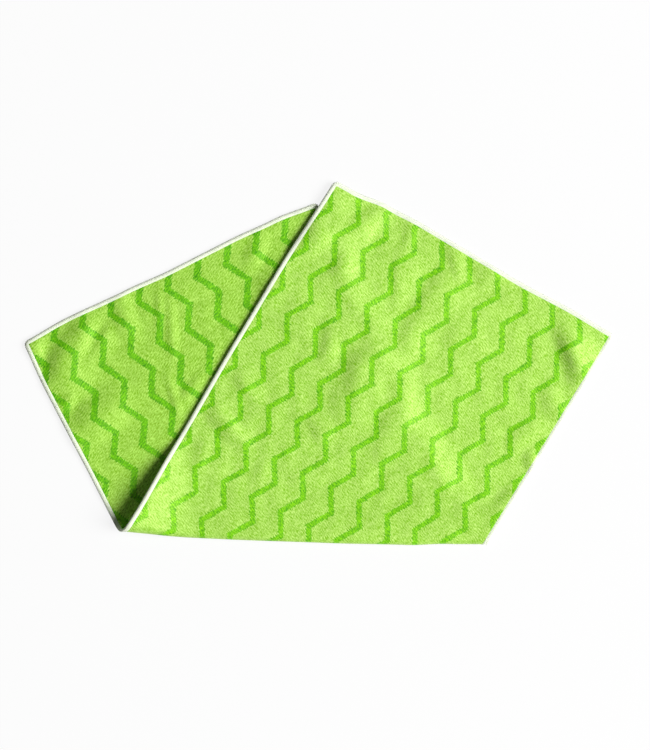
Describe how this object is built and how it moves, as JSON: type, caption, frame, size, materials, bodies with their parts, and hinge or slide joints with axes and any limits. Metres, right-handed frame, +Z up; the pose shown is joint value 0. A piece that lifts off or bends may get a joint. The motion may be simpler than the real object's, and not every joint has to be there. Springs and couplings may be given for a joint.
{
  "type": "floor cloth",
  "caption": "Oblong knitted floor cloth with zigzag lines and a white overlocked edging, lying flat and folded over once on the slant.",
  "frame": {"origin": "centre of the folded cloth's outline, on the surface it lies on", "axes": "+X from the folded cloth's single-layer end to its folded-over end, +Y towards its back corner, +Z up"},
  "size_m": [0.5552, 0.3421, 0.0209],
  "materials": {
    "microfibre": "knitted terry microfibre, lime green with darker green zigzag lines",
    "edging_yarn": "white three-thread overlock stitching"
  },
  "bodies": {
    "root": {"cloth_panel": "microfibre", "edging": "edging_yarn"}
  },
  "joints": []
}
